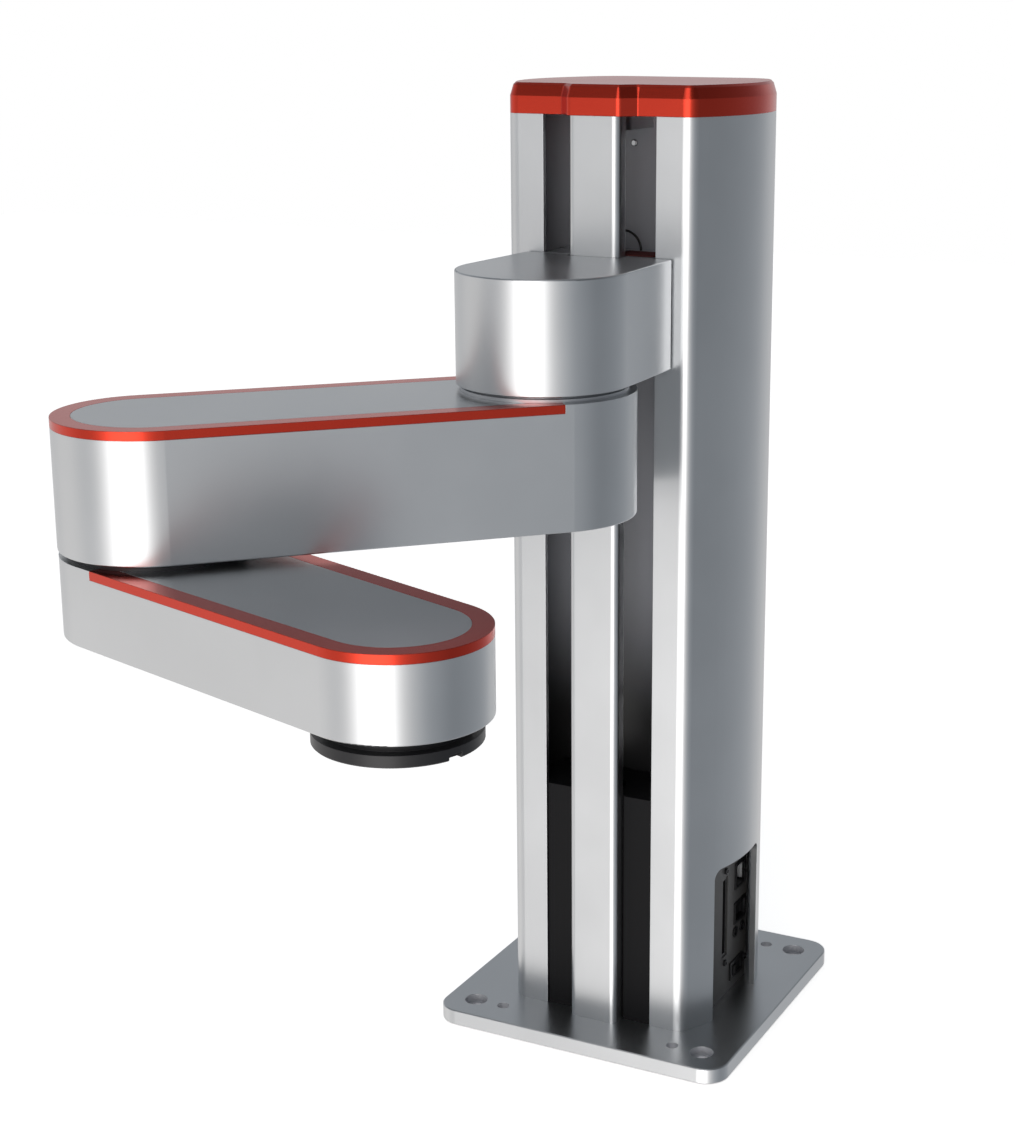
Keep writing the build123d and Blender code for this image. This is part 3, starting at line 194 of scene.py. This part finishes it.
def finish(name, colour, metallic=0.0, roughness=0.5, mottle=0.02, grain=0.000004, grain_size=0.0003,
           stretch=(1, 1, 1), round_edge=0.0003, edge_colour=None, **sockets):
    """A material: slow clouds in its tone and roughness, a fine bumpy grain, and rounded, rubbed edges.

    The edge mask is nought on a face and rises to edge_share as the cosine between the true normal and the
    normal of the rounded edge falls from edge_begins to edge_ends.
    """
    material = bpy.data.materials.new(name)
    material.use_nodes = True
    tree = material.node_tree
    shader = tree.nodes["Principled BSDF"]
    shader.inputs["Metallic"].default_value = metallic
    for socket, value in sockets.items():
        shader.inputs[socket.replace("_", " ")].default_value = value
    place = tree.nodes.new("ShaderNodeTexCoord").outputs["Object"]
    cloud = tree.nodes.new("ShaderNodeTexNoise")
    cloud.inputs["Scale"].default_value = cloud_scale
    cloud.inputs["Detail"].default_value = cloud_detail
    tree.links.new(place, cloud.inputs["Vector"])
    rough = between(tree, cloud.outputs["Fac"], cloud_low, cloud_high, roughness - mottle, roughness + mottle,
                    smooth=False)
    tree.links.new(rough, shader.inputs["Roughness"])
    darker = tuple(cloud_darker * c for c in colour)
    lighter = tuple(min(1.0, cloud_lighter * c) for c in colour)
    tone = ramp(tree, cloud.outputs["Fac"], [(cloud_low, darker), (cloud_high, lighter)])
    mapping = tree.nodes.new("ShaderNodeMapping")
    mapping.inputs["Scale"].default_value = [share / grain_size for share in stretch]
    tree.links.new(place, mapping.inputs["Vector"])
    noise = tree.nodes.new("ShaderNodeTexNoise")
    noise.inputs["Scale"].default_value = 1
    noise.inputs["Detail"].default_value = grain_detail
    tree.links.new(mapping.outputs[0], noise.inputs["Vector"])
    bevel = tree.nodes.new("ShaderNodeBevel")
    bevel.samples = edge_samples
    bevel.inputs["Radius"].default_value = round_edge
    bump = tree.nodes.new("ShaderNodeBump")
    bump.inputs["Distance"].default_value = grain
    tree.links.new(noise.outputs["Fac"], bump.inputs["Height"])
    tree.links.new(bevel.outputs[0], bump.inputs["Normal"])
    tree.links.new(bump.outputs[0], shader.inputs["Normal"])
    turn = tree.nodes.new("ShaderNodeVectorMath")
    turn.operation = "DOT_PRODUCT"
    tree.links.new(bevel.outputs[0], turn.inputs[0])
    tree.links.new(tree.nodes.new("ShaderNodeNewGeometry").outputs["Normal"], turn.inputs[1])
    rubbed = tree.nodes.new("ShaderNodeMixRGB")
    tree.links.new(between(tree, turn.outputs["Value"], edge_begins, edge_ends, 0.0, edge_share),
                   rubbed.inputs["Fac"])
    tree.links.new(tone, rubbed.inputs["Color1"])
    edge = edge_colour or tuple(min(1.0, edge_lighter * c) for c in colour)
    rubbed.inputs["Color2"].default_value = (*edge, 1)
    tree.links.new(rubbed.outputs["Color"], shader.inputs["Base Color"])
    return material


def dress(material, *names):
    """Gives CAD nodes their finish through their material slots."""
    for name in names:
        for slot in nodes[name].material_slots:
            slot.material = material


def place_in(tree):
    """The Object coordinates in a material's tree, split into X, Y and Z."""
    spot = tree.nodes.new("ShaderNodeSeparateXYZ")
    tree.links.new(tree.nodes.new("ShaderNodeTexCoord").outputs["Object"], spot.inputs[0])
    return spot.outputs


def blend_in(material, share, **sockets):
    """Takes the shader's sockets from what they hold to the values given here, by share."""
    tree = material.node_tree
    shader = tree.nodes["Principled BSDF"]
    for name, value in sockets.items():
        socket = shader.inputs[name.replace("_", " ")]
        blend = tree.nodes.new("ShaderNodeMixRGB")
        tree.links.new(share, blend.inputs["Fac"])
        if socket.is_linked:
            tree.links.new(socket.links[0].from_socket, blend.inputs["Color1"])
        else:
            blend.inputs["Color1"].default_value = (socket.default_value,) * 3 + (1,)
        blend.inputs["Color2"].default_value = (*(value if isinstance(value, tuple) else (value,) * 3), 1)
        tree.links.new(blend.outputs["Color"], socket)


def inside_hole(tree, folded, middle, radius):
    """One within radius of the point middle in the plate's folded corner, else nought."""
    off = [math_node(tree, "POWER", math_node(tree, "SUBTRACT", value, centre), 2.0)
           for value, centre in zip(folded, middle)]
    reach = math_node(tree, "SQRT", math_node(tree, "ADD", *off))
    return math_node(tree, "LESS_THAN", reach, radius)


satin = finish("satin_aluminium", aluminium, metallic=1.0, roughness=0.30, grain=blast_depth,
               grain_size=blast_grain, round_edge=0.0004, edge_colour=bare_edge)
plate = satin.copy()
plate.name = "base_plate_aluminium"
bolt_middle, bolt_sink = (0.080, 0.080), 0.0076
pin_middle, pin_hole = (0.060, 0.080), 0.0040
plate_top = 0.010
bright_rim = 0.0003
cut_grey = (0.50, 0.51, 0.54)
plate_tree = plate.node_tree
spot = place_in(plate_tree)
folded = [math_node(plate_tree, "ABSOLUTE", spot[axis]) for axis in "XY"]
hole = math_node(plate_tree, "MAXIMUM", inside_hole(plate_tree, folded, bolt_middle, bolt_sink),
                 inside_hole(plate_tree, folded, pin_middle, pin_hole))
sunk = math_node(plate_tree, "LESS_THAN", spot["Z"], plate_top - bright_rim)
cut = math_node(plate_tree, "MULTIPLY", hole, sunk)
blend_in(plate, cut, Base_Color=cut_grey, Roughness=0.6, Metallic=0.2)
dress(plate, "base_plate")

# The column is an aluminium extrusion with flanks that swell outwards, and the centre strip between its
# two slots is a second one. Both are blasted and anodised as the plate is, with faint draw lines upwards.
draw_depth = 0.000005
drawn = finish("drawn_aluminium", aluminium, metallic=1.0, roughness=0.30, grain=draw_depth,
               grain_size=blast_grain, stretch=(1, 1, 0.35), round_edge=0.0004, edge_colour=bare_edge)
dress(drawn, "column_shell", "centre_strip")

# Five screws hold the column and the strip to the plate from below, with their hexagon sockets facing the
# table, and five of the same kind hold the plate under the cap. They are plated steel.
plated_steel = (0.56, 0.57, 0.58)
plated = finish("plated_steel", plated_steel, metallic=1.0, roughness=0.24, mottle=0.03, grain=0.000003,
                grain_size=0.0004)
dress(plated, "column_screws", "top_plate_screws")

# The cap is a hollow aluminium lid with a bevelled rim, anodised a deep clear red over a smooth finish.
# The plate under it closes the column and is anodised with it.
anodised_red = (0.61, 0.041, 0.018)
dark_edge = (0.26, 0.015, 0.010)
red = finish("red_anodised", anodised_red, metallic=1.0, roughness=0.26, mottle=0.012, grain=0.000002,
             grain_size=0.0004, round_edge=0.0006, edge_colour=dark_edge,
             Coat_Weight=0.3, Coat_Roughness=0.2)
dress(red, "top_cap", "top_plate")

# Two circuit boards are cut from glass-fibre laminate under a green solder mask, with paler edges. The
# control board stands on plated posts behind the guide panel, and the one with the lamps lies under the cap.
solder_mask = (0.015, 0.14, 0.06)
laminate_edge = (0.03, 0.24, 0.10)
board = finish("board_green", solder_mask, roughness=0.32, mottle=0.04, grain=0.00001, grain_size=0.0012,
               stretch=(1, 1, 0.15), round_edge=0.0001, edge_colour=laminate_edge,
               Coat_Weight=0.3, Coat_Roughness=0.15)
dress(board, "light_board", "control_board")
dress(plated, "board_standoffs")

# Behind the slots stands a lacquered steel panel that stiffens the column. It is grey, and painted shade
# takes its colour over to black towards the drive's cover, where little light gets down. A small plated
# screw near its top holds it.
panel_grey = (0.35, 0.36, 0.395)
panel_painted_shade = (0.02, 0.02, 0.021)
painted_shade_full_below, painted_shade_ends_above = 0.192, 0.300
panel = finish("lacquered_panel", panel_grey, roughness=0.34, mottle=0.03, grain_size=0.0006,
               stretch=(1, 1, 0.2))
panel_height = place_in(panel.node_tree)["Z"]
# Painted shade: the panel's colour goes from grey above to black below, down towards the drive's cover.
blend_in(panel, between(panel.node_tree, panel_height, painted_shade_ends_above, painted_shade_full_below), Base_Color=panel_painted_shade)
dress(panel, "guide_panel")
dress(plated, "panel_screw")

# Two profile rails of ground steel are screwed to the panel, with fine grinding lines along them. Two
# hardened blocks with recirculating balls run on them. The ball nut and the tool's bearing are the same
# steel.
ground_steel = (0.50, 0.51, 0.525)
ground = finish("ground_steel", ground_steel, metallic=1.0, roughness=0.2, mottle=0.03, grain_size=0.00025,
                stretch=(1, 1, 0.02), round_edge=0.0002)
dress(ground, "guide_rails")
hardened_steel = (0.46, 0.47, 0.48)
block_steel = finish("block_steel", hardened_steel, metallic=1.0, roughness=0.27, mottle=0.03, grain=0.000003,
                     stretch=(1, 1, 0.1))
dress(block_steel, "guide_blocks", "ball_nut", "tool_bearing")

# Each rail is held by four socket head screws of black oxide steel, sunk in the rail. The heads are turned
# with a chamfered rim and a hexagon socket.
rail_offset, rail_seat = 0.026, -0.0175
rail_foot, rail_screw_pitch = 0.168, 0.0995
rail_screw_spots = [(x, rail_seat, rail_foot + rail_screw_pitch * (n + 0.5))
                    for x in (-rail_offset, rail_offset) for n in range(4)]
rail_screw = dict(head_radius=0.0038, head_height=0.004, shank=0.0022, length=0.0095, key=0.0015)
black_oxide = (0.035, 0.035, 0.038)
worn_oxide = (0.09, 0.09, 0.095)
oxide = finish("black_oxide", black_oxide, metallic=0.6, roughness=0.36, mottle=0.04, edge_colour=worn_oxide)
sides_of_screw = 36
rim_share, point_share, lead_in, socket_floor = 0.12, 0.8, 1.2, 0.45
any_slant = (0.3, 0.5, 0.8)


def show(name, vertices, faces, material, crease=32):
    """A mesh object of the given vertices and faces, smooth except where faces turn by more than crease."""
    mesh = bpy.data.meshes.new(name)
    mesh.from_pydata(vertices, [], faces)
    shell = bmesh.new()
    shell.from_mesh(mesh)
    bmesh.ops.recalc_face_normals(shell, faces=shell.faces)
    shell.to_mesh(mesh)
    shell.free()
    mesh.polygons.foreach_set("use_smooth", np.ones(len(mesh.polygons), dtype=bool))
    mesh.set_sharp_from_angle(angle=radians(crease))
    mesh.materials.append(material)
    piece = bpy.data.objects.new(name, mesh)
    bpy.context.scene.collection.objects.link(piece)
    return piece


def tubes(grids):
    """Vertices and faces of closed tubes: each grid is rows of points round the tube, its two ends capped."""
    vertices, faces = [], []
    for grid in grids:
        rows, sides, _ = grid.shape
        first = len(vertices)
        last = first + (rows - 1) * sides
        row, column = np.meshgrid(np.arange(rows - 1), np.arange(sides), indexing="ij")
        corner = first + row * sides + column
        beside = first + row * sides + (column + 1) % sides
        faces += np.stack([corner, beside, beside + sides, corner + sides], -1).reshape(-1, 4).tolist()
        faces += [list(range(first, first + sides)), list(range(last, last + sides))]
        vertices += grid.reshape(-1, 3).tolist()
    return vertices, faces


def socket_screw(seat, outward, head_radius, head_height, shank, length, key):
    """One screw as rings about its axis: a tip, a shank, a chamfered head and a hexagon socket.

    A ring is a circle except in the socket, where its radius is the key's inner radius over the cosine of
    the angle from the middle of the nearest flat.
    """
    angle = np.linspace(0, 2 * np.pi, sides_of_screw, endpoint=False)
    hexagon = key / np.cos((angle + np.pi / 6) % (np.pi / 3) - np.pi / 6)
    rim = rim_share * head_height
    rings = [(-length, point_share * shank), (rim - length, shank), (0, shank), (0, head_radius),
             (head_height - rim, head_radius), (head_height, head_radius - rim),
             (head_height, lead_in * hexagon), (head_height - rim / 2, hexagon),
             (socket_floor * head_height, hexagon)]
    outward = np.array(outward, float)
    aside = np.cross(outward, any_slant)
    aside /= np.linalg.norm(aside)
    across = np.cross(outward, aside)
    return np.array([np.array(seat) + height * outward + (radius * np.cos(angle))[:, None] * aside
                     + (radius * np.sin(angle))[:, None] * across for height, radius in rings])


rail_screws = show("rail_socket_screws", *tubes([
    socket_screw(spot, (0, -1, 0), **rail_screw) for spot in rail_screw_spots
]), oxide)
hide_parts("rail_screws")
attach(rail_screws, "base")

# The ball screw is rolled and ground steel with a right-hand groove of 16 mm lead for its balls. A plain
# journal at each end runs in a bearing, and the thinner foot carries the pulley.
screw_place = (0.0, -0.0445)
screw_radius = 0.007
thread_lead = 0.016
thread_foot, thread_top = 0.0586, 0.5664
groove_half_width = 0.0021
groove_depth = 0.0011
plain_below = [(0.0215, 0.0035), (0.022, 0.004), (0.042, 0.004), (0.042, 0.005), (0.058, 0.005),
               (0.058, 0.0064)]
plain_above = [(0.567, 0.0064), (0.567, 0.005), (0.5769, 0.005), (0.5774, 0.0045)]
sides_of_thread = 40
ring_spacing = 0.0008
thread_crease = 50


def ball_screw_grid():
    """Rings up the screw's axis, plain at its ends.

    Between them the radius drops where the height over the lead, less the angle in turns, is half a turn
    past a whole number: the groove is a half ellipse of the given half width and depth.
    """
    angle = np.linspace(0, 2 * np.pi, sides_of_thread, endpoint=False)
    height = np.arange(thread_foot, thread_top, ring_spacing)
    turns = height[:, None] / thread_lead - angle[None, :] / (2 * np.pi)
    from_groove = np.abs(turns % 1 - 0.5) * thread_lead / groove_half_width
    threaded = screw_radius - groove_depth * np.sqrt(np.clip(1 - from_groove ** 2, 0, 1))
    below, above = [[(z, np.full(sides_of_thread, radius)) for z, radius in plain]
                    for plain in (plain_below, plain_above)]
    rows = below + list(zip(height, threaded)) + above
    z = np.array([row[0] for row in rows])
    radius = np.array([row[1] for row in rows])
    return np.stack([screw_place[0] + radius * np.cos(angle), screw_place[1] + radius * np.sin(angle),
                     np.repeat(z[:, None], sides_of_thread, axis=1)], -1)


ball_screw = show("ball_screw_thread", *tubes([ball_screw_grid()]), ground, thread_crease)
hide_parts("ball_screw")
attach(ball_screw, "lead_screw")

# The bearing seats, the motor's bracket and the pulleys are turned or milled aluminium left plain, with
# the fine marks of the tool still on them.
machined_aluminium = (0.52, 0.53, 0.55)
machined = finish("machined_aluminium", machined_aluminium, metallic=1.0, roughness=0.32, mottle=0.03,
                  grain=0.000006, grain_size=0.0002, stretch=(0.15, 0.15, 1))
dress(machined, "lower_bearing", "upper_bearing", "motor_bracket", "screw_pulley", "motor_pulley")

# The lifting motor is a servo motor in black lacquer. It stands behind the screw and drives it through a
# toothed rubber belt, and a smaller belt of the same rubber turns the tool.
lacquer_black = (0.018, 0.018, 0.02)
lacquer = finish("black_lacquer", lacquer_black, roughness=0.3, mottle=0.03, grain=0.000006,
                 grain_size=0.0008, Coat_Weight=0.2)
dress(lacquer, "z_motor")
rubber_black = (0.014, 0.014, 0.014)
rubber = finish("belt_rubber", rubber_black, roughness=0.75, mottle=0.05, grain=0.00003, grain_size=0.0006,
                Specular_IOR_Level=0.25)
dress(rubber, "z_belt", "tool_belt")

# The lower part of both slots is filled by the drive's cover, a black moulding with a fine spark-eroded
# grain, which hides the belt and the motor.
moulding_black = (0.008, 0.008, 0.009)
moulded = finish("moulded_black", moulding_black, roughness=0.55, mottle=0.03, grain=0.00001,
                 grain_size=0.0004, Specular_IOR_Level=0.1)
dress(moulded, "drive_housing")

# The connectors sit in a black powder-coated sheet behind the window. Small black screws hold the sheet,
# and a pair of threaded posts locks the plug of the long connector.
powder_black = (0.075, 0.073, 0.072)
sheet = finish("black_powder_coat", powder_black, roughness=0.45, mottle=0.04, grain=0.00002,
               grain_size=0.0005, Specular_IOR_Level=0.4)
dress(sheet, "io_panel")
sheet_face = 0.0634
sheet_screw_spots = [(sheet_face, y, z)
                     for y, z in ((-0.034, 0.018), (-0.034, 0.11), (0.027, 0.11), (0.0282, 0.0249))]
sheet_screw = dict(head_radius=0.0022, head_height=0.0015, shank=0.0014, length=0.002, key=0.0009)
sheet_screws = show("sheet_socket_screws", *tubes([
    socket_screw(spot, (1, 0, 0), **sheet_screw) for spot in sheet_screw_spots
]), oxide)
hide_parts("io_panel_screws")
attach(sheet_screws, "base")
post_spots = [(sheet_face, -0.00475, z) for z in (0.0985, 0.034)]
lock_post = dict(head_radius=0.0022, head_height=0.0015, shank=0.0014, length=0.006, key=0.0011)
lock_posts = show("plug_lock_posts", *tubes([
    socket_screw(spot, (1, 0, 0), **lock_post) for spot in post_spots
]), oxide)
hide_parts("jack_screws")
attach(lock_posts, "base")

# The connectors are glossy black mouldings: the long multi-way one, the network jack, the square jack and
# two round sockets. The power switch below them is a rocker in a snap-in frame.
connector_black = (0.010, 0.010, 0.011)
connector = finish("connector_black", connector_black, roughness=0.3, mottle=0.03, grain=0.000006,
                   grain_size=0.0004, Specular_IOR_Level=0.4)
dress(connector, "io_connector", "network_port", "square_port", "round_sockets", "switch_frame",
      "power_rocker")

# Gold-plated contacts: two rows of pins in the groove of the long connector, eight sprung wires in the
# network jack, and four strips on the tongue of the square jack.
gold_colour = (0.80, 0.55, 0.22)
gold = finish("gold_plate", gold_colour, metallic=1.0, roughness=0.25, mottle=0.03, grain=0.000002,
              round_edge=0.0001)
pin_line = (0.0590, 0.0598, 0.0600)
pin_rows = (-0.0058, -0.0037)
pin_heights = np.arange(0.0425, 0.0905, 0.00254)
pin_half = 0.00032
spring_line = ((0.0518, 0.0132), (0.0560, 0.0138), (0.0605, 0.0152), (0.0618, 0.0147))
spring_heights = 0.0840 + 0.00116 * np.arange(8)
spring_half_width, spring_half_height = 0.00018, 0.00028
strip_line = ((0.0555, 0.0652), (0.0590, 0.0654), (0.0620, 0.0652))
strip_places = 0.0165 + 0.0022 * np.arange(4)
strip_half_width, strip_half_height = 0.0006, 0.00014


def wire_grid(path, half_width, half_height):
    """A bar of eight-sided section along a path: rings square to the path, as wide and high as given."""
    path = np.array(path, float)
    along = np.gradient(path, axis=0)
    along /= np.linalg.norm(along, axis=1)[:, None]
    side = np.cross(along, (0.0, 0.0, 1.0))
    side /= np.linalg.norm(side, axis=1)[:, None]
    upward = np.cross(side, along)
    octagon = np.array([(1, 0.5), (0.5, 1), (-0.5, 1), (-1, 0.5),
                        (-1, -0.5), (-0.5, -1), (0.5, -1), (1, -0.5)])
    return (path[:, None, :] + half_width * octagon[None, :, :1] * side[:, None, :]
            + half_height * octagon[None, :, 1:] * upward[:, None, :])


pins = [wire_grid([(x, y, z) for x in pin_line], pin_half, pin_half) for y in pin_rows for z in pin_heights]
springs = [wire_grid([(x, y, z) for x, y in spring_line], spring_half_width, spring_half_height)
           for z in spring_heights]
strips = [wire_grid([(x, y, z) for x, z in strip_line], strip_half_width, strip_half_height)
          for y in strip_places]
contacts = show("connector_contacts", *tubes(pins + springs + strips), gold)
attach(contacts, "base")

# A tinned shield spring lies against the rear wall of the network jack's mouth, where it shows as a pale
# bar. It is bent from sheet and snaps into the moulding.
tin_colour = (0.42, 0.43, 0.44)
tin = finish("tin_plate", tin_colour, metallic=0.25, roughness=0.5, mottle=0.03, grain=0.000003,
             round_edge=0.0001)
shield_line = (0.0590, 0.0594, 0.0624)
shield_y, shield_z = 0.02572, 0.0872
shield_half_thickness, shield_half_height = 0.00024, 0.0052
shield = show("jack_shield", *tubes([
    wire_grid([(x, shield_y, shield_z) for x in shield_line], shield_half_thickness, shield_half_height)
]), tin)
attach(shield, "base")

# The carriage is milled aluminium. It reaches through both slots to the head, which four socket screws
# pull against it, and its short sensor lead loops over its top.
dress(machined, "carriage")
dress(oxide, "head_screws")
lead_black = (0.010, 0.010, 0.010)
lead = finish("cable_black", lead_black, roughness=0.55, mottle=0.03, grain=0.000005, grain_size=0.0004)
dress(lead, "carriage_cable")

# A thin pad of red-brown felt is glued on top of the carriage's right arm, just behind the column's face,
# and keeps dust off the ball screw. It is cut from sheet, and its edges are a little rounded.
felt_colour = (0.075, 0.017, 0.016)
felt = finish("red_felt", felt_colour, roughness=0.9, mottle=0.05, grain=0.00012, grain_size=0.0006,
              Specular_IOR_Level=0.2)
pad_line = (0.0090, 0.0105, 0.033, 0.0341)
pad_y, pad_z = -0.0495, 0.49845
pad_half_width, pad_half_thickness = 0.0105, 0.0004
wiper = show("carriage_wiper", *tubes([
    wire_grid([(x, pad_y, pad_z) for x in pad_line], pad_half_width, pad_half_thickness)
]), felt)
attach(wiper, "head")

# The head is a milled aluminium housing, round in front about the shoulder's axis, blasted and anodised as
# the column is.
dress(satin, "head_housing")

# The shoulder and elbow each have a strain wave gear and a flat motor above it. The gear's case is bare
# steel, the motor's can is plain aluminium, as the tool motor's is, and the flange that the gear turns is
# turned aluminium at the shoulder and blackened steel at the elbow.
case_steel = (0.36, 0.37, 0.38)
gear_case = finish("cast_steel", case_steel, metallic=1.0, roughness=0.38, mottle=0.04, grain=0.00001,
                   grain_size=0.0005)
dress(gear_case, "shoulder_reducer", "elbow_reducer")
can_grey = (0.32, 0.33, 0.34)
motor_can = finish("motor_can", can_grey, metallic=1.0, roughness=0.3, mottle=0.03, grain=0.000005,
                   stretch=(0.1, 0.1, 1))
dress(motor_can, "shoulder_motor", "elbow_motor", "tool_motor")
dress(machined, "shoulder_flange", "tool_motor_pulley", "tool_shaft")
dress(oxide, "elbow_flange")

# Both arms are blasted aluminium housings. A flat cover of the same finish is let into the top of each,
# inside a red anodised band that runs round the edge.
dress(satin, "upper_arm_housing", "upper_arm_cover", "forearm_housing", "forearm_cover")
dress(red, "upper_arm_trim", "forearm_trim")

# The tool flange is turned aluminium, black anodised, with a locating bore and tapped holes. Four black
# socket screws in its middle hold it to the shaft.
flange_black = (0.02, 0.02, 0.022)
worn_flange = (0.07, 0.07, 0.075)
black_anodised = finish("black_anodised", flange_black, metallic=0.3, roughness=0.36, mottle=0.03,
                        grain=0.000006, grain_size=0.0002, stretch=(0.2, 0.2, 1), round_edge=0.0004,
                        edge_colour=worn_flange)
dress(black_anodised, "tool_flange")
tool_axis = (0.034583, -0.353329)
tool_screw_circle, tool_screw_seat = 0.0115, 0.3079
first_screw_angle = -18.8
tool_screw = dict(head_radius=0.0035, head_height=0.004, shank=0.002, length=0.011, key=0.0015)
screw_angles = np.radians(first_screw_angle + 90 * np.arange(4))
tool_screw_spots = [(tool_axis[0] + tool_screw_circle * np.cos(angle),
                     tool_axis[1] + tool_screw_circle * np.sin(angle), tool_screw_seat)
                    for angle in screw_angles]
flange_screws = show("flange_socket_screws", *tubes([
    socket_screw(spot, (0, 0, -1), **tool_screw) for spot in tool_screw_spots
]), oxide)
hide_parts("tool_flange_screws")
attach(flange_screws, "tool")

# The floor is a plain white sheet just under the base plate, hidden from the metal's reflections. It glows
# in the open, and darkens close to the plate's edge and in the bolt holes, where little light gets.
floor_size, floor_height = 8, -0.0002
paper_white = (0.9, 0.885, 0.87, 1)
shade_reach = 0.02
shaded, open_to_light = 0.1, 0.6
shaded_glow, open_glow = 0.02, 0.74
bpy.ops.mesh.primitive_plane_add(size=floor_size, location=(0, 0, floor_height))
floor = bpy.context.object
floor.name = "floor"
floor.visible_glossy = False
floor.visible_diffuse = False
floor.visible_shadow = False
paper = bpy.data.materials.new("floor")
paper.use_nodes = True
paper_tree = paper.node_tree
shader = paper_tree.nodes["Principled BSDF"]
shader.inputs["Base Color"].default_value = paper_white
shader.inputs["Roughness"].default_value = 1
shader.inputs["Specular IOR Level"].default_value = 0
shader.inputs["Emission Color"].default_value = white
openness = paper_tree.nodes.new("ShaderNodeAmbientOcclusion")
openness.samples = 8
openness.inputs["Distance"].default_value = shade_reach
glow = between(paper_tree, openness.outputs["AO"], shaded, open_to_light, shaded_glow, open_glow)
paper_tree.links.new(glow, shader.inputs["Emission Strength"])
floor.data.materials.append(paper)
